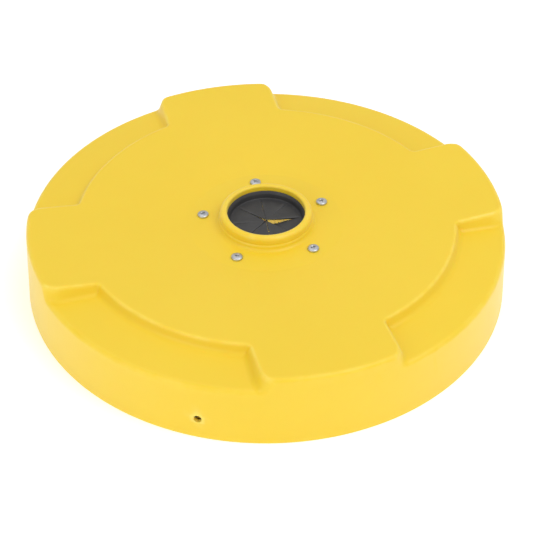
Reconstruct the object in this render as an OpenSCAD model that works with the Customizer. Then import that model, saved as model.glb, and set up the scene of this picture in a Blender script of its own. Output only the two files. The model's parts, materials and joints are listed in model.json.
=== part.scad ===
// Cover for a 208 litre drum, with a self-closing rubber port in the middle.
// A single-skin moulded cover drops over the drum head and rests on the drum's top rim.
// Its top is dished, and falls gently from the rim to a flat seat round a tall collar.
// A moulded rubber port lines the collar: its floor is slit into eight flaps, and its flange is
// clamped under the seat by a steel ring and five screws.
// Origin: centre of the bottom rim. +Z is up. The raised arms lie along X and Y.

/* [Cover] */
// Outside diameter at the bottom rim
cover_d = 635; // [590:1:800]
// Height from the bottom rim to the outer ends of the raised arms, before their edge is rounded
cover_h = 98; // [85:1:150]
// Thickness of the moulded wall
wall = 5; // [3:0.5:7]
// Lean of the skirt from vertical, in degrees
skirt_lean = 4.3; // [1:0.1:6]
// Radius of the skirt's round top edge
edge_r = 6; // [6:0.5:12]

/* [Raised top] */
// Fall of the dished top, from the outer ends of the arms to the seat round the collar
dish_h = 19; // [5:1:22]
// Radius of the raised centre, at its top edge
centre_r = 247; // [200:1:262]
// Width of each raised arm, where it meets the raised centre
arm_w = 164; // [100:1:220]
// Drop from the outer ends of the arms to the flat low sectors between them
step_h = 19; // [12:1:22]
// Lean of the step walls from vertical, in degrees
step_lean = 30; // [5:1:40]

/* [Collar] */
// Diameter of the round opening
opening_d = 102; // [80:1:124]
// Height of the collar above its seat
collar_h = 19; // [10:1:30]
// Wall of the collar at its foot
collar_wall = 11; // [10:1:16]
// Wall of the collar at its lip
lip_wall = 9; // [8:0.5:10]
// Radius of the lip's inner edge
lip_inner_r = 3; // [1:0.5:4]
// Radius of the lip's outer edge
lip_outer_r = 5; // [2:0.5:5]

/* [Rubber port] */
// Thickness of the rubber
rubber_t = 3; // [2:0.5:5]
// How far the rubber sleeve stops below the collar's lip
sleeve_drop = 7.5; // [4:0.5:12]
// How far the slit floor lies below the collar's lip
floor_drop = 18.5; // [15:0.5:24]
// Distance from the end of each slit to the inside of the sleeve
slit_margin = 3; // [3:0.5:6]
// Width of each slit
slit_w = 0.6; // [0.5:0.1:1]
// Turn of the first slit from +X, in degrees
slit_turn = -6; // [-22:1:22]
// Resting droop of the last flap, in degrees
flap_droop = 9; // [0:1:12]

/* [Clamp ring and screws] */
// Diameter of the circle that the screws stand on
screw_circle_d = 168; // [160:1:220]
// Number of screws
screw_count = 5; // [4:1:8]
// Turn of the first screw from +X, in degrees
screw_turn = 13; // [0:1:71]
// Thread diameter of the screws
screw_d = 6; // [4:0.1:8]
// Thickness of the clamp ring
ring_t = 3; // [2:0.5:5]
// Radius of the clamp ring beyond the screw circle
ring_margin = 16; // [12:1:22]

/* [Skirt hole] */
// Diameter of the hole low in the skirt
skirt_hole_d = 10; // [5:0.5:12]
// Height of the hole above the bottom rim
skirt_hole_h = 29; // [15:1:45]
// Place of the hole round the skirt from +X, in degrees
skirt_hole_turn = -119.5; // [-180:0.5:180]

/* [Hidden] */
FLAPS = 8;
$fn = 96;

// Slack that a cut runs past a face, and the gap left between pieces that move
past = 1;
running_gap = 0.4;
// Lean at which the side of the low sectors runs out through the skirt
trim_lean = 20;

cover_r = cover_d / 2;
opening_r = opening_d / 2;
plate_r = screw_circle_d / 2 + ring_margin;

// The dished top: flat out to seat_r, then a cone that meets the skirt at height cover_h
seat_margin = 2;
seat_r = plate_r + seat_margin;
seat_h = cover_h - dish_h;
low_floor_h = cover_h - step_h;
dish = atan(dish_h / (cover_r - cover_h * tan(skirt_lean) - seat_r));
centre_h = seat_h + (centre_r - seat_r) * tan(dish);
lip_h = seat_h + collar_h;

// The stack under the seat, from the skin down
rubber_top = seat_h - wall;
rubber_low = rubber_top - rubber_t;
ring_low = rubber_low - ring_t;
washer_t = 0.27 * screw_d;
nut_h = screw_d;
thread_past_nut = 2;
shank_low = ring_low - washer_t - nut_h - thread_past_nut;

// Hardware sizes that follow the thread
screw_hole_d = screw_d * 1.1;
head_d = screw_d * 2.4;
head_h = screw_d * 0.62;
cross_w = screw_d * 0.2;
cross_l = screw_d * 1.05;
cross_deep = screw_d * 0.34;
washer_d = screw_d * 3;
washer_hole_d = screw_d * 1.07;
nut_across = screw_d * 5 / 3;
nut_bore_d = screw_d + 0.1;

// The rubber sleeve inside the collar, and the slit floor across it
sleeve_gap = 0.2;
sleeve_r = opening_r - sleeve_gap;
port_r = sleeve_r - rubber_t;
sleeve_top = lip_h - sleeve_drop;
floor_top = lip_h - floor_drop;
floor_low = floor_top - rubber_t;

// Flaps: each is a triangle hinged on a straight line between two slit ends
sector = 360 / FLAPS;
slit_end_r = port_r - slit_margin;
hinge_r = slit_end_r * cos(sector / 2);
hinge_h = floor_top - rubber_t / 2;
bead_r = rubber_t / 2;
slit_side = slit_w / 2 / cos(sector / 2);
flap_half = (hinge_r - bead_r) * tan(sector / 2) - slit_side;
flap_tip = hinge_r - slit_w / 2 / sin(sector / 2);

// Points of an arc about [x, y], from angle a to angle b
function arc(x, y, r, a, b, steps = 6) =
    [for (i = [0:steps]) let (t = a + (b - a) * i / steps) [x + r * cos(t), y + r * sin(t)]];

// Body of revolution whose top is flat out to seat_r and then rises at the given slope to a
// round edge of radius r. Its side leaves the edge at side_lean, which is the lean of the skirt
// or, to run out through the skirt, a wider one. w is the skirt's half-width at height 0.
module edged_body(w, r, side_lean, top, slope, inward, low) {
    x0 = seat_r + inward * tan(slope / 2);
    base = top - x0 * tan(slope) - r / cos(slope);
    x = (w - r / cos(skirt_lean) - base * tan(skirt_lean)) / (1 + tan(skirt_lean) * tan(slope));
    side = arc(x, base + x * tan(slope), r, side_lean, 90 + slope);
    foot = [side[0][0] + (side[0][1] - low) * tan(side_lean), low];
    rotate_extrude(convexity = 4)
        polygon(concat(
            [[0, low], foot], side, slope > 0 ? [[x0, top]] : [], [[0, top]]));
}

// The raised centre and the arms, as plain bodies with leaning sides that reach past the top.
// Their sides are step_draw inside the step's top edge.
module raised_forms(step_draw) {
    low = centre_h / 2;
    high = cover_h + past;
    low_w = (centre_h - low) * tan(step_lean) - step_draw;
    high_w = (centre_h - high) * tan(step_lean) - step_draw;
    translate([0, 0, low])
        cylinder(h = high - low, r1 = centre_r + low_w, r2 = centre_r + high_w);
    for (turn = [0, 90])
        rotate([90, 0, 90 + turn])
            linear_extrude(2 * cover_d, center = true)
                polygon([
                    [-arm_w / 2 - low_w, low], [arm_w / 2 + low_w, low],
                    [arm_w / 2 + high_w, high], [-arm_w / 2 - high_w, high]]);
}

// The cover's outer form drawn in by the given distance: 0 is the skin, the wall is the hollow
module cover_form(inward, low) {
    w = cover_r - inward / cos(skirt_lean);
    edge = max(edge_r - inward, 1);
    intersection() {
        edged_body(w, edge, skirt_lean, seat_h - inward, dish, inward, low);
        union() {
            edged_body(w, edge, trim_lean, low_floor_h - inward, 0, inward, low - past);
            raised_forms(inward / cos(step_lean));
        }
    }
}

// Ring round the opening, from the underside of the skin to the lip
module collar() {
    outer = opening_r + lip_wall;
    rotate_extrude(convexity = 4)
        polygon(concat(
            [[opening_r, rubber_top]],
            arc(opening_r + lip_inner_r, lip_h - lip_inner_r, lip_inner_r, 180, 90),
            arc(outer - lip_outer_r, lip_h - lip_outer_r, lip_outer_r, 90, 0),
            [[opening_r + collar_wall, seat_h], [opening_r + collar_wall, rubber_top]]));
}

// Children once at each screw
module at_screws() {
    for (i = [0:screw_count - 1])
        rotate([0, 0, screw_turn + i * 360 / screw_count])
            translate([screw_circle_d / 2, 0, 0]) children();
}

module screw_holes(low, high) {
    at_screws() translate([0, 0, low - past])
        cylinder(h = high - low + 2 * past, d = screw_hole_d);
}

module cover_shell() {
    color([0.97, 0.83, 0.27]) {
        difference() {
            union() {
                difference() {
                    cover_form(0, 0);
                    cover_form(wall, -past);
                    translate([0, 0, rubber_top - past])
                        cylinder(h = wall + 2 * past, r = opening_r + lip_inner_r);
                }
                collar();
            }
            screw_holes(rubber_top, seat_h);
            rotate([0, 0, skirt_hole_turn])
                translate([cover_r - 8 * wall, 0, skirt_hole_h])
                    rotate([0, 90, 0]) cylinder(h = 10 * wall, d = skirt_hole_d);
        }
    }
}

// Moulded rubber: a clamped flange, a sleeve up the inside of the collar, and the rim of its
// floor, with an eight-sided hole that leaves each flap room to turn
module diaphragm_rim() {
    hole_r = (hinge_r + bead_r + running_gap) / cos(sector / 2);
    sleeve_low = min(rubber_low, floor_low);
    color([0.2, 0.2, 0.2])
        difference() {
            union() {
                translate([0, 0, rubber_low]) cylinder(h = rubber_t, r = plate_r);
                translate([0, 0, sleeve_low]) cylinder(h = sleeve_top - sleeve_low, r = sleeve_r);
            }
            translate([0, 0, floor_top])
                cylinder(h = sleeve_top - floor_top + past, r = port_r);
            translate([0, 0, sleeve_low - past])
                cylinder(h = floor_low - sleeve_low + past, r = port_r);
            rotate([0, 0, slit_turn]) translate([0, 0, floor_low - past])
                cylinder(h = rubber_t + 2 * past, r = hole_r, $fn = FLAPS);
            screw_holes(rubber_low, rubber_top);
        }
}

// How far each flap is turned down when it rests
function rest_turn(i) = i == FLAPS ? flap_droop : 0;

// One rubber flap: a round bead on the hinge line and a flat triangle that points to the centre
module flap(i) {
    color([0.24, 0.24, 0.24])
        rotate([0, 0, slit_turn + (i - 0.5) * sector])
            translate([hinge_r, 0, hinge_h])
                rotate([0, -rest_turn(i), 0]) {
                    rotate([90, 0, 0]) cylinder(h = 2 * flap_half, r = bead_r, center = true);
                    linear_extrude(rubber_t, center = true)
                        polygon([
                            [0, flap_half], [-bead_r, flap_half], [-flap_tip, 0],
                            [-bead_r, -flap_half], [0, -flap_half]]);
                }
}

module clamp_ring() {
    color([0.66, 0.68, 0.70])
        difference() {
            translate([0, 0, ring_low]) cylinder(h = ring_t, r = plate_r);
            translate([0, 0, ring_low - past])
                cylinder(h = ring_t + 2 * past, r = opening_r);
            screw_holes(ring_low, rubber_low);
        }
}

// Pan-head screw with a cross recess
module screw() {
    crown_r = head_h * 0.55;
    difference() {
        union() {
            translate([0, 0, seat_h])
                rotate_extrude()
                    polygon(concat(
                        [[0, 0], [head_d / 2, 0]],
                        arc(head_d / 2 - crown_r, head_h - crown_r, crown_r, 0, 80),
                        [[0, head_h]]));
            translate([0, 0, shank_low])
                cylinder(h = seat_h - shank_low + head_h / 4, d = screw_d);
        }
        for (turn = [45, 135])
            rotate([0, 0, turn])
                translate([0, 0, seat_h + head_h - cross_deep / 2 + past / 2])
                    cube([cross_l, cross_w, cross_deep + past], center = true);
    }
}

module screws() {
    color([0.80, 0.81, 0.82]) at_screws() screw();
}

module washers() {
    color([0.72, 0.73, 0.74])
        at_screws()
            translate([0, 0, ring_low - washer_t])
                difference() {
                    cylinder(h = washer_t, d = washer_d);
                    translate([0, 0, -past]) cylinder(h = washer_t + 2 * past, d = washer_hole_d);
                }
}

module lock_nuts() {
    color([0.76, 0.77, 0.78])
        at_screws()
            translate([0, 0, ring_low - washer_t - nut_h])
                difference() {
                    cylinder(h = nut_h, d = nut_across / cos(30), $fn = 6);
                    translate([0, 0, -past]) cylinder(h = nut_h + 2 * past, d = nut_bore_d);
                }
}

cover_shell();
diaphragm_rim();
for (i = [1:FLAPS]) flap(i);
clamp_ring();
screws();
washers();
lock_nuts();
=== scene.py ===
import json
import math
import bmesh
import bpy
import numpy as np
from mathutils import Matrix, Vector


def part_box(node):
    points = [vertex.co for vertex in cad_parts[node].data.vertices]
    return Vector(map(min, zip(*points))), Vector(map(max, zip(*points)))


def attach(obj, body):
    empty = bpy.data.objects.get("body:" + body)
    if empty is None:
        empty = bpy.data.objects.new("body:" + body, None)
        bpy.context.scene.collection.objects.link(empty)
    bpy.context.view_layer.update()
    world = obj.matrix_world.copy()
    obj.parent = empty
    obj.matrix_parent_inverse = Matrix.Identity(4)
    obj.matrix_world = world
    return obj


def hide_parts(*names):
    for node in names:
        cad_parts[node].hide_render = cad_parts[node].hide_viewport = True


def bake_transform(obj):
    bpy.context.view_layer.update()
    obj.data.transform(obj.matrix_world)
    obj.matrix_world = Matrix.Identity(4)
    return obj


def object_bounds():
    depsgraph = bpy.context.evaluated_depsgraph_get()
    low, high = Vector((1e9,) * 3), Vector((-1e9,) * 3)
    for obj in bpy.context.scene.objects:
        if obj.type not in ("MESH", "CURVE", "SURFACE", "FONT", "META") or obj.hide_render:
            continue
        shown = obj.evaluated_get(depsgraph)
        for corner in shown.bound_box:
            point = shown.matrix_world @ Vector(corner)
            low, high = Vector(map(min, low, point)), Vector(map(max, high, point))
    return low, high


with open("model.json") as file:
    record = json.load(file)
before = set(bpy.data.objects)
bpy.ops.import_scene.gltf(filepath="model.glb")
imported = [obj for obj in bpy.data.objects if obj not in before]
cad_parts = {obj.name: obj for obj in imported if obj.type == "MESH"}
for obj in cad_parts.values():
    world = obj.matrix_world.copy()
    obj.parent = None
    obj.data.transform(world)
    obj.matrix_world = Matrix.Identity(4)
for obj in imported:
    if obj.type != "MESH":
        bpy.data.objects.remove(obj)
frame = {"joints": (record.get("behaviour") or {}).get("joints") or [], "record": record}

# Yellow drum cover with a slit rubber port, standing on a pale floor.
# Everything is in metres, in the frame's own axes: +Z up, arms along X and Y.

mm = 0.001
cadBox = [list(corner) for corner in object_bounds()]
rimRadius = (cadBox[1][0] - cadBox[0][0]) / 2
lipHeight = cadBox[1][2]

cameraSetup = {
    "turn": -14.97,      # degrees round the cover, 0 looks along +Y
    "tilt": 40.5,       # degrees above the horizon
    "roll": 0.01,
    "distance": 5.268,   # in rim radii
    "aimRight": 0.0017,  # in rim radii, from the centre of the rim
    "aimUp": -0.0002,
    "lens": 83.27,
}


def makeCamera():
    s = cameraSetup
    tilt, roll = math.radians(s["tilt"]), math.radians(s["roll"])
    forward = Vector((0, math.cos(tilt), -math.sin(tilt)))
    right, up = Vector((1, 0, 0)), Vector((0, math.sin(tilt), math.cos(tilt)))
    place = (right * s["aimRight"] + up * s["aimUp"] - forward * s["distance"]) * rimRadius
    rolledRight = right * math.cos(roll) + up * math.sin(roll)
    rolledUp = up * math.cos(roll) - right * math.sin(roll)
    turn = Matrix.Rotation(math.radians(s["turn"]), 4, "Z")
    frameOfView = Matrix((rolledRight, rolledUp, -forward)).transposed().to_4x4()
    data = bpy.data.cameras.new("camera")
    data.lens = s["lens"]
    data.clip_start, data.clip_end = 0.05, 50
    camera = bpy.data.objects.new("camera", data)
    camera.matrix_world = turn @ Matrix.Translation(place) @ frameOfView
    bpy.context.scene.collection.objects.link(camera)
    bpy.context.scene.camera = camera


makeCamera()
print("camera placed")


# Mesh helpers

def meshObject(name, points, faces, material=None, smoothAngle=40):
    mesh = bpy.data.meshes.new(name)
    mesh.from_pydata([tuple(p) for p in points], [], [tuple(f) for f in faces])
    mesh.validate()
    piece = bpy.data.objects.new(name, mesh)
    bpy.context.scene.collection.objects.link(piece)
    if material:
        mesh.materials.append(material)
    smoothShade(mesh, smoothAngle)
    return piece


def smoothShade(mesh, angle):
    mesh.polygons.foreach_set("use_smooth", [True] * len(mesh.polygons))
    mesh.set_sharp_from_angle(angle=math.radians(angle))
    mesh.update()


def pointOut(mesh):
    work = bmesh.new()
    work.from_mesh(mesh)
    bmesh.ops.recalc_face_normals(work, faces=work.faces)
    work.to_mesh(mesh)
    work.free()


def gridFaces(rows, columns, closedRows=False, closedColumns=True):
    faces = []
    for j in range(rows if closedRows else rows - 1):
        for i in range(columns if closedColumns else columns - 1):
            a, b = j * columns, ((j + 1) % rows) * columns
            k = (i + 1) % columns
            faces.append((a + i, a + k, b + k, b + i))
    return faces


def arcPoints(x, y, radius, start, stop, steps):
    # points of an arc in a radius and height plane, angles in degrees
    turns = np.radians(np.linspace(start, stop, steps + 1))
    return [(x + radius * math.cos(t), y + radius * math.sin(t)) for t in turns]


def turned(name, profile, columns, material=None, smoothAngle=40):
    # a closed outline of radius and height points, turned about Z
    points = []
    for radius, height in profile:
        for i in range(columns):
            t = 2 * math.pi * i / columns
            points.append((radius * math.cos(t), radius * math.sin(t), height))
    piece = meshObject(name, points, gridFaces(len(profile), columns, closedRows=True),
                       material, smoothAngle)
    pointOut(piece.data)
    smoothShade(piece.data, smoothAngle)
    return piece


def finishModifiers(piece):
    # turns the evaluated result into the piece's own plain mesh
    bpy.context.view_layer.update()
    plain = bpy.data.meshes.new_from_object(
        piece.evaluated_get(bpy.context.evaluated_depsgraph_get()))
    piece.modifiers.clear()
    piece.data = plain
    return piece


# Shader helpers

def addNode(tree, kind, place=(0, 0), **settings):
    node = tree.nodes.new(kind)
    node.location = place
    for key, value in settings.items():
        setattr(node, key, value)
    return node


def ramp(tree, source, stops, place=(0, 0), mode="LINEAR"):
    node = addNode(tree, "ShaderNodeValToRGB", place)
    node.color_ramp.interpolation = mode
    elements = node.color_ramp.elements
    while len(elements) < len(stops):
        elements.new(0.5)
    for element, (position, level) in zip(elements, stops):
        element.position = position
        element.color = (level, level, level, 1) if isinstance(level, (int, float)) else (*level, 1)
    tree.links.new(source, node.inputs["Fac"])
    return node.outputs["Color"]


def noise(tree, vector, scale, detail=3.0, roughness=0.5, place=(0, 0)):
    node = addNode(tree, "ShaderNodeTexNoise", place)
    node.inputs["Scale"].default_value = scale
    node.inputs["Detail"].default_value = detail
    node.inputs["Roughness"].default_value = roughness
    tree.links.new(vector, node.inputs["Vector"])
    return node


def mathNode(tree, operation, a, b=None, clamp=False, place=(0, 0)):
    node = addNode(tree, "ShaderNodeMath", place, operation=operation, use_clamp=clamp)
    for socket, value in zip(node.inputs, (a, b)):
        if value is None:
            continue
        if isinstance(value, (int, float)):
            socket.default_value = value
        else:
            tree.links.new(value, socket)
    return node.outputs[0]


def mixColour(tree, factor, a, b, blend="MIX", place=(0, 0)):
    node = addNode(tree, "ShaderNodeMix", place, data_type="RGBA", blend_type=blend)
    for socket, value in ((node.inputs[0], factor), (node.inputs[6], a), (node.inputs[7], b)):
        if isinstance(value, (int, float)):
            socket.default_value = value
        elif isinstance(value, tuple):
            socket.default_value = (*value, 1)
        else:
            tree.links.new(value, socket)
    return node.outputs[2]


def newGroup(name, inputs, outputs):
    group = bpy.data.node_groups.new(name, "ShaderNodeTree")
    for socketName, kind, value in inputs:
        socket = group.interface.new_socket(name=socketName, in_out="INPUT", socket_type=kind)
        if value is not None:
            socket.default_value = value
    for socketName, kind in outputs:
        group.interface.new_socket(name=socketName, in_out="OUTPUT", socket_type=kind)
    return group, addNode(group, "NodeGroupInput", (-900, 0)), addNode(group, "NodeGroupOutput", (600, 0))


def grainGroup():
    # broad cloudy tone, fine grain height and sparse flecks, all from one vector
    group, source, result = newGroup(
        "surfaceGrain",
        [("Vector", "NodeSocketVector", None), ("Cloud Scale", "NodeSocketFloat", 9.0),
         ("Grain Scale", "NodeSocketFloat", 900.0), ("Fleck Scale", "NodeSocketFloat", 240.0)],
        [("Cloud", "NodeSocketFloat"), ("Grain", "NodeSocketFloat"), ("Fleck", "NodeSocketFloat")])
    link = group.links.new
    cloud = noise(group, source.outputs["Vector"], 9, 4, 0.55, (-600, 300))
    link(source.outputs["Cloud Scale"], cloud.inputs["Scale"])
    link(cloud.outputs["Fac"], result.inputs["Cloud"])
    grain = noise(group, source.outputs["Vector"], 900, 2, 0.5, (-600, 0))
    link(source.outputs["Grain Scale"], grain.inputs["Scale"])
    link(grain.outputs["Fac"], result.inputs["Grain"])
    cells = addNode(group, "ShaderNodeTexVoronoi", (-600, -300), feature="F1")
    link(source.outputs["Vector"], cells.inputs["Vector"])
    link(source.outputs["Fleck Scale"], cells.inputs["Scale"])
    fleck = ramp(group, cells.outputs["Distance"], [(0.05, 1.0), (0.13, 0.0)], (-300, -300))
    pick = addNode(group, "ShaderNodeSeparateColor", (-300, -500))
    link(cells.outputs["Color"], pick.inputs["Color"])
    rare = mathNode(group, "GREATER_THAN", pick.outputs[0], 0.86, place=(-100, -500))
    link(mathNode(group, "MULTIPLY", fleck, rare, place=(100, -300)), result.inputs["Fleck"])
    return group


def edgeMaskGroup():
    # mask of the outer edges, broken up by noise, and mask of the inner corners; on the yellow cover they
    # carry a painted highlight and painted shade
    group, source, result = newGroup(
        "edgeWear",
        [("Vector", "NodeSocketVector", None), ("Break Scale", "NodeSocketFloat", 60.0),
         ("Reach", "NodeSocketFloat", 0.5)],
        [("Edge", "NodeSocketFloat"), ("Corner", "NodeSocketFloat")])
    link = group.links.new
    shape = addNode(group, "ShaderNodeNewGeometry", (-700, 200))
    edge = ramp(group, shape.outputs["Pointiness"], [(0.503, 0.0), (0.54, 1.0)], (-450, 250))
    corner = ramp(group, shape.outputs["Pointiness"], [(0.46, 1.0), (0.497, 0.0)], (-450, -50))
    patch = noise(group, source.outputs["Vector"], 60, 4, 0.6, (-700, -300))
    link(source.outputs["Break Scale"], patch.inputs["Scale"])
    broken = ramp(group, patch.outputs["Fac"], [(0.38, 0.25), (0.62, 1.0)], (-450, -300))
    patchyMask = mathNode(group, "MULTIPLY", edge, broken, place=(-100, 200))
    link(mathNode(group, "MULTIPLY", patchyMask, source.outputs["Reach"], True, (100, 200)),
         result.inputs["Edge"])
    link(mathNode(group, "MULTIPLY", corner, source.outputs["Reach"], True, (100, -50)),
         result.inputs["Corner"])
    return group


def scuffGroup():
    # thin short scratches in two directions
    group, source, result = newGroup(
        "scuffs",
        [("Vector", "NodeSocketVector", None), ("Scale", "NodeSocketFloat", 14.0)],
        [("Mask", "NodeSocketFloat")])
    link = group.links.new
    masks = []
    for i, turn in enumerate((0.5, 2.1)):
        stretch = addNode(group, "ShaderNodeMapping", (-650, -260 * i))
        stretch.inputs["Rotation"].default_value = (0, 0, turn)
        stretch.inputs["Scale"].default_value = (1, 26, 1)
        link(source.outputs["Vector"], stretch.inputs["Vector"])
        lines = noise(group, stretch.outputs["Vector"], 14, 2, 0.5, (-420, -260 * i))
        link(source.outputs["Scale"], lines.inputs["Scale"])
        masks.append(ramp(group, lines.outputs["Fac"], [(0.69, 0.0), (0.76, 1.0)], (-150, -260 * i)))
    link(mathNode(group, "MAXIMUM", masks[0], masks[1], True, (200, 0)), result.inputs["Mask"])
    return group


surfaceGrain, edgeWear, scuffs = grainGroup(), edgeMaskGroup(), scuffGroup()


def startMaterial(name):
    material = bpy.data.materials.new(name)
    material.use_nodes = True
    tree = material.node_tree
    tree.nodes.clear()
    shader = addNode(tree, "ShaderNodeBsdfPrincipled", (500, 0))
    output = addNode(tree, "ShaderNodeOutputMaterial", (800, 0))
    tree.links.new(shader.outputs["BSDF"], output.inputs["Surface"])
    where = addNode(tree, "ShaderNodeTexCoord", (-1200, 0)).outputs["Object"]
    return material, tree, shader, where


def useGroup(tree, group, where, place, **values):
    node = addNode(tree, "ShaderNodeGroup", place, node_tree=group)
    tree.links.new(where, node.inputs["Vector"])
    for key, value in values.items():
        node.inputs[key.replace("_", " ")].default_value = value
    return node


def bump(tree, shader, height, strength, distance, place=(250, -350)):
    node = addNode(tree, "ShaderNodeBump", place)
    node.inputs["Strength"].default_value = strength
    node.inputs["Distance"].default_value = distance
    tree.links.new(height, node.inputs["Height"])
    tree.links.new(node.outputs["Normal"], shader.inputs["Normal"])
    return node


yellowFinish = {
    "tone": (0.815, 0.565, 0.010),
    "paleTone": (0.830, 0.580, 0.015),
    # painted shade: a darker, deeper yellow mixed into the inner corners
    "deepTone": (0.815, 0.545, 0.002),
    # painted highlight: a paler yellow mixed along the outer edges
    "edgeTone": (0.875, 0.680, 0.110),
    "fleckTone": (0.62, 0.40, 0.03),
    "roughness": 0.42,
    "haze": 0.20,
    "subsurface": 0.3,
    "subsurfaceScale": 0.005,
}


def yellowPolyethylene():
    s = yellowFinish
    material, tree, shader, where = startMaterial("yellowPolyethylene")
    link = tree.links.new
    grain = useGroup(tree, surfaceGrain, where, (-900, 250),
                     Cloud_Scale=7.0, Grain_Scale=700.0, Fleck_Scale=170.0)
    edgeMasks = useGroup(tree, edgeWear, where, (-900, -50), Break_Scale=45.0, Reach=0.9)
    scratch = useGroup(tree, scuffs, where, (-900, -300), Scale=11.0)
    tone = mixColour(tree, ramp(tree, grain.outputs["Cloud"], [(0.3, 0.0), (0.7, 1.0)], (-650, 400)),
                     s["tone"], s["paleTone"], place=(-350, 350))
    # painted shade: the inner corners turn to the darker, deeper yellow
    tone = mixColour(tree, edgeMasks.outputs["Corner"], tone, s["deepTone"], place=(-150, 300))
    # painted highlight: the outer edges, broken up by noise, turn to the paler yellow
    tone = mixColour(tree, edgeMasks.outputs["Edge"], tone, s["edgeTone"], place=(50, 250))
    fleck = mathNode(tree, "MULTIPLY", grain.outputs["Fleck"], 0.22, place=(-150, 500))
    tone = mixColour(tree, fleck, tone, s["fleckTone"], place=(250, 250))
    link(tone, shader.inputs["Base Color"])
    gloss = mathNode(tree, "MULTIPLY_ADD", grain.outputs["Cloud"], 0.10, place=(-350, -100))
    gloss.node.inputs[2].default_value = s["roughness"] - 0.05
    scuffed = mathNode(tree, "MULTIPLY", scratch.outputs["Mask"], 0.12, place=(-350, -300))
    link(mathNode(tree, "ADD", gloss, scuffed, True, (-100, -150)), shader.inputs["Roughness"])
    broad = mathNode(tree, "MULTIPLY", grain.outputs["Cloud"], 3.0, place=(-350, -450))
    height = mathNode(tree, "ADD", broad, grain.outputs["Grain"], place=(-150, -450))
    bump(tree, shader, height, 0.13, 0.00035)
    shader.inputs["Subsurface Weight"].default_value = s["subsurface"]
    shader.inputs["Subsurface Radius"].default_value = (1.0, 0.62, 0.12)
    shader.inputs["Subsurface Scale"].default_value = s["subsurfaceScale"]
    shader.inputs["IOR"].default_value = 1.5
    shader.inputs["Sheen Weight"].default_value = s["haze"]
    shader.inputs["Sheen Roughness"].default_value = 0.45
    return material


def blackRubber():
    material, tree, shader, where = startMaterial("blackRubber")
    link = tree.links.new
    grain = useGroup(tree, surfaceGrain, where, (-900, 250),
                     Cloud_Scale=38.0, Grain_Scale=2600.0, Fleck_Scale=700.0)
    edgeMasks = useGroup(tree, edgeWear, where, (-900, -50), Break_Scale=220.0, Reach=0.3)
    scratch = useGroup(tree, scuffs, where, (-900, -300), Scale=60.0)
    tone = mixColour(tree, ramp(tree, grain.outputs["Cloud"], [(0.32, 0.0), (0.68, 1.0)], (-650, 400)),
                     (0.026, 0.026, 0.028), (0.042, 0.042, 0.044), place=(-300, 350))
    tone = mixColour(tree, mathNode(tree, "MULTIPLY", grain.outputs["Fleck"], 0.3, place=(-300, 520)),
                     tone, (0.16, 0.155, 0.14), place=(-50, 350))
    tone = mixColour(tree, edgeMasks.outputs["Edge"], tone, (0.085, 0.085, 0.088), place=(150, 300))
    tone = mixColour(tree, mathNode(tree, "MULTIPLY", scratch.outputs["Mask"], 0.25, place=(0, 520)),
                     tone, (0.12, 0.12, 0.12), place=(320, 300))
    link(tone, shader.inputs["Base Color"])
    rough = mathNode(tree, "MULTIPLY_ADD", grain.outputs["Cloud"], 0.18, place=(-300, -100))
    rough.node.inputs[2].default_value = 0.42
    link(rough, shader.inputs["Roughness"])
    bump(tree, shader, grain.outputs["Grain"], 0.35, 0.00012)
    shader.inputs["IOR"].default_value = 1.52
    return material


def zincMetal(name, tone, paleTone, dullTone, roughness, grainScale):
    material, tree, shader, where = startMaterial(name)
    link = tree.links.new
    grain = useGroup(tree, surfaceGrain, where, (-900, 250),
                     Cloud_Scale=grainScale, Grain_Scale=grainScale * 30, Fleck_Scale=grainScale * 6)
    edgeMasks = useGroup(tree, edgeWear, where, (-900, -50), Break_Scale=300.0, Reach=0.9)
    scratch = useGroup(tree, scuffs, where, (-900, -300), Scale=90.0)
    colour = mixColour(tree, ramp(tree, grain.outputs["Cloud"], [(0.35, 0.0), (0.65, 1.0)], (-650, 400)),
                       tone, paleTone, place=(-300, 350))
    colour = mixColour(tree, edgeMasks.outputs["Corner"], colour, dullTone, place=(-50, 300))
    colour = mixColour(tree, edgeMasks.outputs["Edge"], colour, paleTone, place=(150, 300))
    link(colour, shader.inputs["Base Color"])
    rough = mathNode(tree, "MULTIPLY_ADD", grain.outputs["Cloud"], 0.20, place=(-300, -100))
    rough.node.inputs[2].default_value = roughness
    patchyMask = mathNode(tree, "MULTIPLY", scratch.outputs["Mask"], 0.15, place=(-300, -280))
    link(mathNode(tree, "ADD", rough, patchyMask, True, (-50, -150)), shader.inputs["Roughness"])
    bump(tree, shader, grain.outputs["Grain"], 0.2, 0.00004)
    shader.inputs["Metallic"].default_value = 1.0
    return material


def nylonInsert():
    material, tree, shader, where = startMaterial("nylonInsert")
    grain = useGroup(tree, surfaceGrain, where, (-900, 250),
                     Cloud_Scale=120.0, Grain_Scale=3000.0, Fleck_Scale=900.0)
    tone = mixColour(tree, grain.outputs["Cloud"], (0.72, 0.74, 0.76), (0.82, 0.83, 0.82), place=(-200, 300))
    tree.links.new(tone, shader.inputs["Base Color"])
    bump(tree, shader, grain.outputs["Grain"], 0.2, 0.00005)
    shader.inputs["Roughness"].default_value = 0.45
    return material


def paleFloor():
    material, tree, shader, where = startMaterial("paleFloor")
    grain = useGroup(tree, surfaceGrain, where, (-900, 250),
                     Cloud_Scale=2.0, Grain_Scale=300.0, Fleck_Scale=100.0)
    tone = mixColour(tree, grain.outputs["Cloud"], (0.93, 0.93, 0.93), (0.95, 0.95, 0.95), place=(-200, 300))
    tree.links.new(tone, shader.inputs["Base Color"])
    shader.inputs["Roughness"].default_value = 0.8
    # the open floor glows a little, the part under the cover does not
    reach = addNode(tree, "ShaderNodeVectorMath", (-200, -200), operation="LENGTH")
    tree.links.new(where, reach.inputs[0])
    outside = ramp(tree, reach.outputs["Value"], [(0.30, 0.0), (0.315, 1.0)], (0, -200))
    tree.links.new(outside, shader.inputs["Emission Color"])
    shader.inputs["Emission Strength"].default_value = 0.26
    return material


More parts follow.
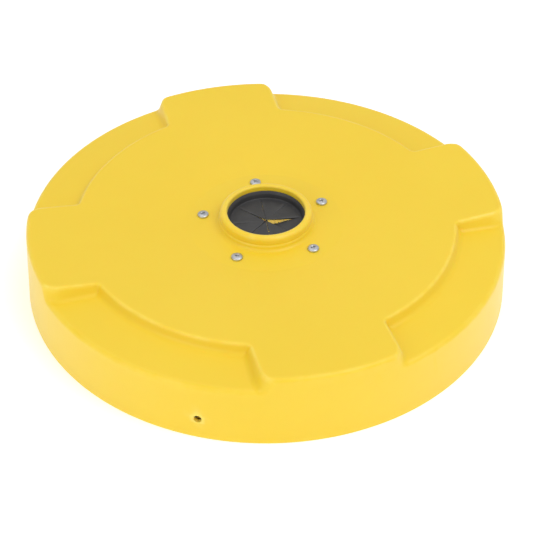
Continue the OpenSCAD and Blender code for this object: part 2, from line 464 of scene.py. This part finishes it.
materials = {
    "yellow": yellowPolyethylene(),
    "rubber": blackRubber(),
    "screw": zincMetal("brightZinc", (0.42, 0.43, 0.45), (0.60, 0.61, 0.63), (0.20, 0.20, 0.21), 0.24, 160.0),
    "plate": zincMetal("zincPlate", (0.52, 0.53, 0.55), (0.66, 0.67, 0.69), (0.30, 0.30, 0.31), 0.26, 70.0),
    "nylon": nylonInsert(),
    "floor": paleFloor(),
}
print("materials made")


# The moulded cover: one closed skin, made of rings that run from the underside of the rim,
# over the skirt and the raised top, down the throat and back out along the inside

coverShape = {
    "seatHeight": 79 * mm,         # the flat seat round the collar
    "seatRadius": 102 * mm,
    "dishSlope": 5.22,             # degrees, from the seat out to the edge
    "lowFloor": 79 * mm,           # the flat low sectors between the arms
    "wall": 5 * mm,
    "skirtLean": 4.3,
    "edgeRadius": 6 * mm,
    "centreRadius": 247 * mm,
    "armHalf": 82 * mm,
    "stepLean": 22,
    "stepEdgeRadius": 4 * mm,
    "stepFootRadius": 8 * mm,
    "innerCornerRadius": 5 * mm,   # where an arm meets the raised centre, in plan
    "armCornerRadius": 18 * mm,    # where an arm meets the skirt, in plan
    "edgeDraw": 6 * mm,            # how far the skirt has leaned in at its top edge
    "throatRadius": 51 * mm,
    "lipInnerRadius": 3 * mm,
    "lipOuterRadius": 5.5 * mm,
    "lipOuter": 60.4 * mm,
    "collarFoot": 62 * mm,
    "collarFillet": 6 * mm,
    "beadLine": 8 * mm,            # a shallow line round the collar, this far above the seat
    "beadStand": 0.3 * mm,         # how far the collar's wall stands out above that line
    "rimEdge": 1.8 * mm,
    "holeRadius": 5 * mm,
    "holeSides": 40,
    # where the columns of points run: beside the arms' edges, across the arms and between them
    "armEdgeFrom": 66 * mm,
    "armEdgeTo": 107 * mm,
    "armEdgeStep": 1.3 * mm,
    "armMiddle": 58 * mm,
    "columnsBetween": 28,
    "fanFrom": 243 * mm,           # radii between which the columns run parallel along the arms
    "fanTo": 303.5 * mm,
}


def stepDistance(x, y):
    # how far a point is past the top edge of the nearest step, with round corners in plan
    s = coverShape
    radius = np.hypot(x, y)
    past = radius - s["centreRadius"]
    side = np.minimum(np.abs(x), np.abs(y)) - s["armHalf"]
    corner = s["armCornerRadius"]
    reach = rimRadius - s["edgeDraw"] - radius
    bent = corner - np.sqrt((corner - reach) ** 2 + (corner + side) ** 2)
    side = np.where((reach < corner) & (side > -corner), -bent, side)
    corner = s["innerCornerRadius"]
    rounded = corner - np.sqrt((corner - past) ** 2 + (corner - side) ** 2)
    return np.where((past < corner) & (side < corner), rounded, np.minimum(past, side))


def stepDrop(distance, edgeRadius, footRadius, depth):
    # drop below the raised top: round edge, straight leaning wall, round foot
    slope = math.radians(90 - coverShape["stepLean"])
    run = depth / math.tan(slope)
    edgeReach, footReach = edgeRadius * math.tan(slope / 2), footRadius * math.tan(slope / 2)
    fromEdge = np.clip(distance + edgeReach, 0, edgeRadius)
    toFoot = np.clip(run + footReach - distance, 0, footRadius)
    edge = edgeRadius - np.sqrt(edgeRadius ** 2 - fromEdge ** 2)
    foot = depth - footRadius + np.sqrt(footRadius ** 2 - toFoot ** 2)
    wall = distance * math.tan(slope)
    drop = np.where(distance < edgeReach * math.cos(slope), edge, wall)
    drop = np.where(distance > run - footReach * math.cos(slope), foot, drop)
    return np.where(distance > run + footReach, depth, drop)


def topSurface(x, y, inward):
    # height of the outer skin, or of the inner one where inward is the wall
    s = coverShape
    rise = np.clip(np.hypot(x, y) - s["seatRadius"], 0, None) * math.tan(math.radians(s["dishSlope"]))
    crown = s["seatHeight"] + rise
    slope = math.radians(90 - s["stepLean"])
    shifted = stepDistance(x, y) + inward * math.tan(slope / 2)
    drop = stepDrop(shifted, max(s["stepEdgeRadius"] - inward, mm), s["stepFootRadius"],
                    np.maximum(crown - s["lowFloor"], 10 * mm))
    return crown - inward - drop


def armOffsets():
    # places across an arm, close together at its sides
    s = coverShape
    fine = np.arange(s["armEdgeFrom"], s["armEdgeTo"], s["armEdgeStep"])
    coarse = np.linspace(-s["armMiddle"], s["armMiddle"], 13)
    return np.concatenate((-fine[::-1], coarse, fine))


def columnTurns(radius):
    # directions of the columns of points at one radius: parallel along the arms, fanned between them
    radius = min(max(radius, coverShape["fanFrom"]), coverShape["fanTo"])
    offsets = armOffsets()
    arm = np.arcsin(offsets / radius)
    between = np.linspace(arm[-1], math.pi / 2 + arm[0], coverShape["columnsBetween"])[1:-1]
    quarter = np.concatenate((arm, between))
    return np.concatenate([quarter + k * math.pi / 2 for k in range(4)])


def flatRing(radius, inward):
    turns = columnTurns(radius)
    x, y = radius * np.cos(turns), radius * np.sin(turns)
    return np.stack((x, y, topSurface(x, y, inward)), 1)


def plainRing(radius, height):
    turns = columnTurns(radius)
    return np.stack((radius * np.cos(turns), radius * np.sin(turns), np.full(len(turns), height)), 1)


def edgeRing(angle, inward):
    # a ring on the round edge of the skirt: its height follows the top surface beside it
    s = coverShape
    lean = math.radians(s["skirtLean"])
    edge = s["edgeRadius"] - inward
    foot = rimRadius - inward / math.cos(lean)
    turns = columnTurns(rimRadius)
    radius = np.full(len(turns), foot - edge)
    for _ in range(6):
        x, y = radius * np.cos(turns), radius * np.sin(turns)
        top = topSurface(x, y, inward)
        centre = foot - (edge + (top - edge) * math.sin(lean)) / math.cos(lean)
        radius = centre + edge * math.cos(angle)
    return np.stack((radius * np.cos(turns), radius * np.sin(turns), top - edge + edge * math.sin(angle)), 1)


def skirtRings(start, height, inward, steps):
    # rings from the end of the round edge down the leaning skirt
    lean = math.radians(coverShape["skirtLean"])
    foot = rimRadius - inward / math.cos(lean)
    turns = columnTurns(rimRadius)
    rings = []
    for k in range(1, steps + 1):
        z = start[:, 2] + (height - start[:, 2]) * k / steps
        radius = foot - z * math.tan(lean)
        rings.append(np.stack((radius * np.cos(turns), radius * np.sin(turns), z), 1))
    return rings


def skinRadii(inner):
    # radii of the rings over the raised top, close together where the step is
    plateau = np.concatenate(([72, 82, 94, 100, 102, 104], np.linspace(116, 232, 9)))
    step = np.concatenate((np.arange(238, 264, 0.9), np.arange(264, 288, 2)))
    floor = np.linspace(289, 304, 9)
    radii = np.concatenate((plateau, step[::2] if inner else step, floor)) * mm
    return radii


def makeCover():
    s = coverShape
    lean = math.radians(s["skirtLean"])
    wall = s["wall"]
    foot = rimRadius - wall / math.cos(lean)
    rings = []
    # throat, lip and collar, from the inside of the cover up
    seat = s["seatHeight"]
    for height in np.linspace(seat - wall, lipHeight - s["lipInnerRadius"], 5):
        rings.append(plainRing(s["throatRadius"], height))
    lipIn = arcPoints(s["throatRadius"] + s["lipInnerRadius"], lipHeight - s["lipInnerRadius"],
                      s["lipInnerRadius"], 180, 90, 6)
    lipOut = arcPoints(s["lipOuter"] - s["lipOuterRadius"], lipHeight - s["lipOuterRadius"],
                       s["lipOuterRadius"], 90, 4, 7)
    line = seat + s["beadLine"]
    middle = s["lipOuter"] + s["beadStand"]
    wallLine = [(middle, line + 1.2 * mm), (middle - 0.1 * mm, line + 0.5 * mm),
                (middle, line), (middle + 0.6 * mm, line - 0.6 * mm)]
    fillet = arcPoints(s["collarFoot"] + s["collarFillet"], seat + s["collarFillet"],
                       s["collarFillet"], 182, 270, 7)
    for radius, height in lipIn[1:] + lipOut + wallLine + fillet:
        rings.append(plainRing(radius, height))
    # raised top, low sectors, round edge, skirt
    rings += [flatRing(radius, 0) for radius in skinRadii(False)]
    rings += [edgeRing(angle, 0) for angle in np.linspace(math.pi / 2, lean, 12)]
    rings += skirtRings(rings[-1], s["rimEdge"], 0, 7)
    # rim
    rimOut = arcPoints(rimRadius - s["rimEdge"], s["rimEdge"], s["rimEdge"], -15, -90, 4)
    rimIn = arcPoints(foot + s["rimEdge"], s["rimEdge"], s["rimEdge"], -90, -180, 4)
    rings += [plainRing(radius, height) for radius, height in rimOut + rimIn]
    # inside, from the rim back to the throat
    inside = [flatRing(radius, wall) for radius in skinRadii(True)]
    inside += [edgeRing(angle, wall) for angle in np.linspace(math.pi / 2, lean, 8)]
    inside += skirtRings(inside[-1], 2 * s["rimEdge"], wall, 5)
    rings += inside[::-1]
    points = np.concatenate(rings)
    piece = meshObject("coverShell", points, gridFaces(len(rings), len(rings[0]), closedRows=True),
                       materials["yellow"], 60)
    pointOut(piece.data)
    drillSkirt(piece)
    smoothShade(piece.data, 60)
    return piece


def drillSkirt(piece):
    # the one round hole low in the skirt, where the frame's mount puts it
    mount = next(m for m in frame["record"]["mounts"] if m["name"] == "skirt_hole")
    axis, place = Vector(mount["axis"]), Vector(mount["pos_m"])
    work = bmesh.new()
    bmesh.ops.create_cone(work, cap_ends=True, segments=coverShape["holeSides"],
                          radius1=coverShape["holeRadius"],
                          radius2=coverShape["holeRadius"], depth=6 * coverShape["wall"])
    work.transform(Matrix.Translation(place) @ axis.to_track_quat("Z", "Y").to_matrix().to_4x4())
    mesh = bpy.data.meshes.new("drill")
    work.to_mesh(mesh)
    work.free()
    drill = bpy.data.objects.new("drill", mesh)
    bpy.context.scene.collection.objects.link(drill)
    cut = piece.modifiers.new("hole", "BOOLEAN")
    cut.operation, cut.solver, cut.object = "DIFFERENCE", "EXACT", drill
    finishModifiers(piece)
    bpy.data.objects.remove(drill)


cover = makeCover()
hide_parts("cover_shell")
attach(cover, "cover")
print("cover made,", len(cover.data.polygons), "faces")


# The rubber port: a clamped flange with a sleeve, and eight flaps that bend at their roots

rubberShape = {
    "thickness": 3 * mm,
    "outer": 100 * mm,
    "sleeveOuter": 50.8 * mm,
    "sleeveInner": 47.8 * mm,
    "slitEnd": 44.8 * mm,
    "flapRoot": 46.4 * mm,
    "slitHalf": 0.2 * mm,
    "bendBefore": 0.6 * mm,   # the bend starts this far outside the hinge line
    "bendAfter": 6.5 * mm,    # and ends this far inside it
    "cutEdge": 0.25 * mm,
    "tipThin": 1.2 * mm,      # how much the underside thins towards the tip
    "rows": 30,
    "columns": 16,
    # how far each flap is turned down at rest, in degrees, and how much its tip curls, in metres
    "restTurn": (-0.8, 0.5, -0.5, 0.2, -0.2, 0.3, 0.2, 10),
    "tipCurl": (1.2 * mm, -1.4 * mm, 1.3 * mm, -0.3 * mm, 0.2 * mm, -0.5 * mm, 0.5 * mm, -0.8 * mm),
}
flapJoints = {joint["child"]: joint for joint in frame["joints"]}


def makeRubberRim():
    s = rubberShape
    low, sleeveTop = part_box("diaphragm_rim")[0][2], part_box("diaphragm_rim")[1][2]
    thick, edge, bead, fillet = s["thickness"], 0.5 * mm, 0.6 * mm, 1.3 * mm
    floorTop = flapJoints["flap_1"]["pos_m"][2] + thick / 2
    inner, outer = s["sleeveInner"], s["sleeveOuter"]
    profile = [(s["flapRoot"], floorTop - thick), (s["flapRoot"], floorTop)]
    profile += arcPoints(inner - fillet, floorTop + fillet, fillet, 270, 360, 5)
    # the sleeve thins to its top
    profile += [(inner, sleeveTop - 4.2 * mm), (inner + 0.25 * mm, sleeveTop - 3.6 * mm)]
    profile += arcPoints(outer - bead, sleeveTop - bead, bead, 150, 0, 8)
    profile += [(outer, floorTop), (outer, low + thick)]
    profile += [(radius * mm, low + thick) for radius in (56, 64, 76, 88)]
    profile += arcPoints(s["outer"] - edge, low + thick - edge, edge, 90, 0, 4)
    profile += arcPoints(s["outer"] - edge, low + edge, edge, 0, -90, 4)
    profile += [(radius * mm, low) for radius in (88, 76, 64, 56)]
    profile += [(inner, low), (inner, floorTop - thick)]
    return turned("rubberRim", profile, 192, materials["rubber"], 50)


def bendAbout(points, hinge, inwardDirection, angle, before, after):
    # turns points about the hinge line, more and more as they go inwards past it
    s = (points - hinge) @ inwardDirection
    t = np.clip((s + before) / (before + after), 0, 1)
    turn = angle * t * t * (3 - 2 * t)
    height = points[:, 2] - hinge[2]
    along = s * np.cos(turn) + height * np.sin(turn)
    down = -s * np.sin(turn) + height * np.cos(turn)
    bent = points + np.outer(along - s, inwardDirection)
    bent[:, 2] = hinge[2] + down
    return bent


def makeFlap(index, joint):
    s = rubberShape
    hinge = np.array(joint["pos_m"])
    outward = np.array([hinge[0], hinge[1], 0]) / math.hypot(hinge[0], hinge[1])
    across = np.array([-outward[1], outward[0], 0])
    half = math.pi / 8
    tip = s["slitHalf"] / math.sin(half)
    rows, columns = s["rows"], s["columns"]
    radii = tip + 0.15 * mm + (s["flapRoot"] - tip - 0.15 * mm) * np.linspace(0, 1, rows)
    grids = []
    for level in (1, -1):
        layer = []
        for j, radius in enumerate(radii):
            gap = s["slitHalf"] * np.clip((s["slitEnd"] - radius) / (0.8 * mm), 0, 1)
            limit = half - math.asin(min(gap / radius, 1))
            shares = np.linspace(-1, 1, columns)
            inset = s["cutEdge"] / max(radius * limit, s["cutEdge"] * 1.5)
            shares[1], shares[-2] = -1 + inset * 1.2, 1 - inset * 1.2
            for i, share in enumerate(shares):
                turn = share * limit
                height = s["thickness"] / 2
                if level < 0:
                    height -= s["tipThin"] * max(1 - radius / s["slitEnd"], 0)
                onCut = i in (0, columns - 1) and radius < s["slitEnd"]
                if onCut or j == 0:
                    height -= s["cutEdge"]
                place = outward * radius * math.cos(turn) + across * radius * math.sin(turn)
                layer.append(place + np.array([0, 0, hinge[2] + level * height]))
        grids.append(np.array(layer))
    points = np.concatenate(grids)
    inner = np.clip(1 - np.linalg.norm(points[:, :2], axis=1) / s["slitEnd"], 0, 1)
    points[:, 2] += s["tipCurl"][index] * inner ** 2
    points = bendAbout(points, hinge, -outward, math.radians(s["restTurn"][index]),
                       s["bendBefore"], s["bendAfter"])
    top = gridFaces(rows, columns, closedColumns=False)
    count = rows * columns
    faces = top + [tuple(count + v for v in reversed(face)) for face in top]
    border = [i for i in range(columns)]
    border += [j * columns + columns - 1 for j in range(1, rows)]
    border += [(rows - 1) * columns + i for i in range(columns - 2, -1, -1)]
    border += [j * columns for j in range(rows - 2, 0, -1)]
    for a, b in zip(border, border[1:] + border[:1]):
        faces.append((a, b, b + count, a + count))
    piece = meshObject(f"rubberFlap_{index + 1}", points, faces, materials["rubber"], 50)
    pointOut(piece.data)
    smoothShade(piece.data, 50)
    node = f"flap_{index + 1}"
    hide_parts(node)
    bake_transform(piece)
    return piece


rubberRim = makeRubberRim()
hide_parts("diaphragm_rim")
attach(rubberRim, "cover")
flaps = [makeFlap(i, flapJoints[f"flap_{i + 1}"]) for i in range(8)]
print("rubber port made")


# The clamp ring under the rubber

ringShape = {"inner": 51 * mm, "outer": 100 * mm, "edge": 0.4 * mm}


def makeClampRing():
    s = ringShape
    low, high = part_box("clamp_ring")[0][2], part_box("clamp_ring")[1][2]
    edge = s["edge"]
    profile = arcPoints(s["inner"] + edge, low + edge, edge, 270, 180, 3)
    profile += arcPoints(s["inner"] + edge, high - edge, edge, 180, 90, 3)
    profile += [(radius * mm, high) for radius in (60, 70, 80, 90)]
    profile += arcPoints(s["outer"] - edge, high - edge, edge, 90, 0, 3)
    profile += arcPoints(s["outer"] - edge, low + edge, edge, 0, -90, 3)
    profile += [(radius * mm, low) for radius in (90, 80, 70, 60)]
    return turned("clampRing", profile, 192, materials["plate"], 50)


clampRing = makeClampRing()
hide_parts("clamp_ring")
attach(clampRing, "cover")
print("clamp ring made")


# Screws, washers and nuts: one of each is made, and a node tree sets it out on the screw circle

hardware = {
    "count": 5,
    "circleRadius": 84 * mm,
    "firstTurn": 13,
    "thread": 3 * mm,
    "pitch": 1 * mm,
    "headRadius": 7.4 * mm,
    "headHeight": 3.72 * mm,
    "crossHalf": 3.5 * mm,
    "crossWidth": 1.7 * mm,
    "crossDepth": 1.4 * mm,
    "washerInner": 3.21 * mm,
    "washerOuter": 9 * mm,
    "nutAcross": 10 * mm,
    "nutBevel": 0.98,          # where the bevel starts, as a share of the flats
    "nutCollar": 0.86,         # the round collar, as a share of the flats
    "seed": 4,
}


def makeScrewMaster():
    s = hardware
    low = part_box("screws")[0][2]
    seat = coverShape["seatHeight"]
    columns = 64
    crown = []
    for k in range(13):
        # a low domed head with a round shoulder
        t = k / 12 * math.pi / 2
        crown.append((s["headRadius"] * math.sin(t) ** 0.7,
                      seat + s["headHeight"] * (0.3 + 0.7 * math.cos(t) ** 0.5)))
    profile = crown[1:] + [(s["headRadius"], seat + 0.25 * mm), (s["headRadius"] - 0.25 * mm, seat)]
    profile += [(s["thread"] + 0.3 * mm, seat), (s["thread"], seat - 0.3 * mm)]
    points = [(r * math.cos(2 * math.pi * i / columns), r * math.sin(2 * math.pi * i / columns), z)
              for r, z in profile for i in range(columns)]
    # the shank, with a helical thread over its lower end
    threadTop = low + 6 * mm
    rows = [seat - 2 * mm, threadTop + 1 * mm]
    rows += list(np.arange(threadTop, low + 0.5 * mm, -s["pitch"] / 6))
    for z in rows:
        for i in range(columns):
            t = i / columns
            wave = abs(((z / s["pitch"] - t) % 1) - 0.5) * 2
            cut = 0.55 * mm * wave if z <= threadTop else 0
            points.append(((s["thread"] - cut) * math.cos(2 * math.pi * t),
                           (s["thread"] - cut) * math.sin(2 * math.pi * t), z))
    for r in (s["thread"] - 0.7 * mm, 0.4 * mm):
        points += [(r * math.cos(2 * math.pi * i / columns), r * math.sin(2 * math.pi * i / columns), low)
                   for i in range(columns)]
    ringCount = len(points) // columns
    faces = gridFaces(ringCount, columns)
    crownTop, shankEnd = len(points), len(points) + 1
    points += [(0, 0, seat + s["headHeight"]), (0, 0, low)]
    for i in range(columns):
        k = (i + 1) % columns
        faces.append((crownTop, k, i))
        last = (ringCount - 1) * columns
        faces.append((shankEnd, last + i, last + k))
    piece = meshObject("screwMaster", points, faces, materials["screw"], 35)
    pointOut(piece.data)
    cutCross(piece, seat + s["headHeight"])
    smoothShade(piece.data, 35)
    return piece


def cutCross(piece, top):
    # a cross recess whose wings narrow towards its floor
    s = hardware
    cutters = []
    for turn in (45, 135):
        work = bmesh.new()
        bmesh.ops.create_cube(work, size=1)
        for v in work.verts:
            below = v.co.z < 0
            v.co.x *= 2 * s["crossHalf"] * (0.45 if below else 1.08)
            v.co.y *= s["crossWidth"] * (0.7 if below else 1.05)
            v.co.z = top - s["crossDepth"] if below else top + 0.4 * mm
        work.transform(Matrix.Rotation(math.radians(turn), 4, "Z"))
        mesh = bpy.data.meshes.new("crossWing")
        work.to_mesh(mesh)
        work.free()
        cutter = bpy.data.objects.new("crossWing", mesh)
        bpy.context.scene.collection.objects.link(cutter)
        cut = piece.modifiers.new("cross", "BOOLEAN")
        cut.operation, cut.solver, cut.object = "DIFFERENCE", "EXACT", cutter
        cutters.append(cutter)
    finishModifiers(piece)
    for cutter in cutters:
        bpy.data.objects.remove(cutter)


def makeWasherMaster():
    s = hardware
    low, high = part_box("washers")[0][2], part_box("washers")[1][2]
    edge = 0.3 * mm
    profile = arcPoints(s["washerInner"] + edge, low + edge, edge, 270, 180, 3)
    profile += arcPoints(s["washerInner"] + edge, high - edge, edge, 180, 90, 3)
    profile += arcPoints(s["washerOuter"] - edge, high - edge, edge, 90, 0, 3)
    profile += arcPoints(s["washerOuter"] - edge, low + edge, edge, 0, -90, 3)
    return turned("washerMaster", profile, 48, materials["screw"], 50)


def nutRadius(turn, across):
    return across / 2 / math.cos((turn + math.pi / 6) % (math.pi / 3) - math.pi / 6)


def makeNutMaster():
    # a hexagon with chamfered corners, and a round collar that holds the nylon ring below it
    s = hardware
    low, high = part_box("lock_nuts")[0][2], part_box("lock_nuts")[1][2]
    columns = 72
    bore, across = s["thread"] + 0.05 * mm, s["nutAcross"]
    collar = across / 2 * s["nutCollar"]
    hexLow = low + 1.7 * mm
    points = []

    def ring(radiusOf, heightOf):
        for i in range(columns):
            turn = 2 * math.pi * i / columns
            radius = radiusOf(turn)
            points.append((radius * math.cos(turn), radius * math.sin(turn), heightOf(radius)))

    def bevelled(height, sign):
        slope = sign * math.tan(math.radians(30))
        return lambda radius: height + slope * max(radius - across / 2 * s["nutBevel"], 0)

    hexagon = lambda turn: nutRadius(turn, across)
    flat = lambda turn: min(nutRadius(turn, across), across / 2 * s["nutBevel"])
    ring(lambda turn: bore, lambda r: high)
    ring(flat, lambda r: high)
    ring(hexagon, bevelled(high, -1))
    ring(hexagon, bevelled(hexLow, 1))
    ring(flat, lambda r: hexLow)
    ring(lambda turn: collar, lambda r: hexLow - 0.1 * mm)
    ring(lambda turn: collar, lambda r: low + 0.7 * mm)
    ring(lambda turn: collar - 0.25 * mm, lambda r: low + 0.2 * mm)
    ring(lambda turn: collar - 0.7 * mm, lambda r: low)
    ring(lambda turn: collar - 0.9 * mm, lambda r: low + 0.1 * mm)
    ring(lambda turn: collar - 0.9 * mm, lambda r: low + 1.2 * mm)
    ring(lambda turn: bore, lambda r: low + 1.2 * mm)
    rows = len(points) // columns
    piece = meshObject("nutMaster", points, gridFaces(rows, columns, closedRows=True),
                       materials["screw"], 28)
    pointOut(piece.data)
    smoothShade(piece.data, 28)
    return piece


def makeNylonMaster():
    s = hardware
    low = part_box("lock_nuts")[0][2]
    inner, outer = s["thread"] + 0.02 * mm, s["nutAcross"] / 2 * s["nutCollar"] - 0.95 * mm
    profile = [(inner, low + 1.1 * mm), (outer, low + 1.1 * mm), (outer, low + 0.35 * mm)]
    profile += [(outer - 0.15 * mm, low + 0.2 * mm), (inner + 0.15 * mm, low + 0.2 * mm)]
    profile += [(inner, low + 0.3 * mm)]
    return turned("nylonMaster", profile, 48, materials["nylon"], 40)


def settingOutTree():
    # puts one object at equal turns on a circle, each turned a little differently about its own axis
    tree = bpy.data.node_groups.new("setOutOnCircle", "GeometryNodeTree")
    sockets = {}
    tree.interface.new_socket(name="Geometry", in_out="OUTPUT", socket_type="NodeSocketGeometry")
    for name, kind in (("Piece", "NodeSocketObject"), ("Count", "NodeSocketInt"),
                       ("Circle Radius", "NodeSocketFloat"), ("First Turn", "NodeSocketFloat"),
                       ("Own Turn", "NodeSocketFloat"), ("Seed", "NodeSocketInt"),
                       ("Finish", "NodeSocketMaterial")):
        sockets[name] = tree.interface.new_socket(name=name, in_out="INPUT", socket_type=kind).identifier
    link = tree.links.new
    source = addNode(tree, "NodeGroupInput", (-900, 0))
    result = addNode(tree, "NodeGroupOutput", (900, 0))
    circle = addNode(tree, "GeometryNodeMeshCircle", (-650, 200))
    link(source.outputs["Count"], circle.inputs["Vertices"])
    link(source.outputs["Circle Radius"], circle.inputs["Radius"])
    swing = addNode(tree, "GeometryNodeTransform", (-400, 200))
    turn = addNode(tree, "ShaderNodeCombineXYZ", (-650, -50))
    link(source.outputs["First Turn"], turn.inputs["Z"])
    link(turn.outputs["Vector"], swing.inputs["Rotation"])
    link(circle.outputs["Mesh"], swing.inputs["Geometry"])
    master = addNode(tree, "GeometryNodeObjectInfo", (-400, -150))
    link(source.outputs["Piece"], master.inputs["Object"])
    chance = addNode(tree, "FunctionNodeRandomValue", (-400, -400), data_type="FLOAT")
    link(source.outputs["Seed"], chance.inputs["Seed"])
    amount = addNode(tree, "ShaderNodeMath", (-200, -400), operation="MULTIPLY")
    link(chance.outputs[1], amount.inputs[0])
    link(source.outputs["Own Turn"], amount.inputs[1])
    own = addNode(tree, "ShaderNodeCombineXYZ", (0, -400))
    link(amount.outputs[0], own.inputs["Z"])
    place = addNode(tree, "GeometryNodeInstanceOnPoints", (150, 100))
    link(swing.outputs["Geometry"], place.inputs["Points"])
    link(master.outputs["Geometry"], place.inputs["Instance"])
    link(own.outputs["Vector"], place.inputs["Rotation"])
    real = addNode(tree, "GeometryNodeRealizeInstances", (400, 100))
    link(place.outputs["Instances"], real.inputs["Geometry"])
    finish = addNode(tree, "GeometryNodeSetMaterial", (620, 100))
    link(real.outputs["Geometry"], finish.inputs["Geometry"])
    link(source.outputs["Finish"], finish.inputs["Material"])
    link(finish.outputs["Geometry"], result.inputs["Geometry"])
    return tree, sockets


setOutTree, setOutSockets = settingOutTree()


def setOut(name, master, material, ownTurn, smoothAngle):
    piece = bpy.data.objects.new(name, bpy.data.meshes.new(name))
    bpy.context.scene.collection.objects.link(piece)
    modifier = piece.modifiers.new("setOut", "NODES")
    modifier.node_group = setOutTree
    values = {"Piece": master, "Count": hardware["count"], "Circle Radius": hardware["circleRadius"],
              "First Turn": math.radians(hardware["firstTurn"]), "Own Turn": ownTurn,
              "Seed": hardware["seed"], "Finish": material}
    for key, value in values.items():
        modifier[setOutSockets[key]] = value
    finishModifiers(piece)
    bpy.data.objects.remove(master)
    smoothShade(piece.data, smoothAngle)
    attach(piece, "cover")
    return piece


screwSet = setOut("screwSet", makeScrewMaster(), materials["screw"], math.radians(80), 35)
washerSet = setOut("washerSet", makeWasherMaster(), materials["screw"], 0.0, 50)
nutSet = setOut("lockNutSet", makeNutMaster(), materials["screw"], math.radians(60), 28)
nylonSet = setOut("nylonRingSet", makeNylonMaster(), materials["nylon"], 0.0, 40)
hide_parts("screws")
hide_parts("washers")
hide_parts("lock_nuts")
print("hardware made")


# Floor and light

studio = {
    "floorSize": 14.0,
    "worldStrength": 0.7,
    "key": {"place": (0.9, -1.0, 2.2), "size": 1.8, "power": 22.0},
    "fill": {"place": (-1.8, -1.2, 1.3), "size": 1.8, "power": 12.0},
    "back": {"place": (0.2, 1.2, 2.8), "size": 2.0, "power": 7.0},
    # stands for the daylight that the thin skin lets through to the inside
    "inside": {"place": (0.0, -0.04, 0.03), "size": 0.1, "power": 0.3, "colour": (1.0, 0.76, 0.18)},
}


def softLight(name, setup):
    data = bpy.data.lights.new(name, "AREA")
    data.shape = "DISK"
    data.size = setup["size"]
    data.energy = setup["power"]
    data.color = setup.get("colour", (1, 1, 1))
    light = bpy.data.objects.new(name, data)
    light.location = setup["place"]
    aim = Vector((0, 0, 0 if name == "insideLight" else 0.05)) - Vector(setup["place"])
    light.rotation_euler = aim.to_track_quat("-Z", "Y").to_euler()
    bpy.context.scene.collection.objects.link(light)


def makeStudio():
    half = studio["floorSize"] / 2
    floor = meshObject("floor", [(-half, -half, 0), (half, -half, 0), (half, half, 0), (-half, half, 0)],
                       [(0, 1, 2, 3)], materials["floor"])
    world = bpy.data.worlds.new("studio")
    world.use_nodes = True
    background = world.node_tree.nodes["Background"]
    background.inputs["Color"].default_value = (1, 1, 1, 1)
    background.inputs["Strength"].default_value = studio["worldStrength"]
    bpy.context.scene.world = world
    for name in ("key", "fill", "back", "inside"):
        softLight(name + "Light", studio[name])
    bpy.context.scene.view_settings.view_transform = "Standard"


makeStudio()
print("studio made")
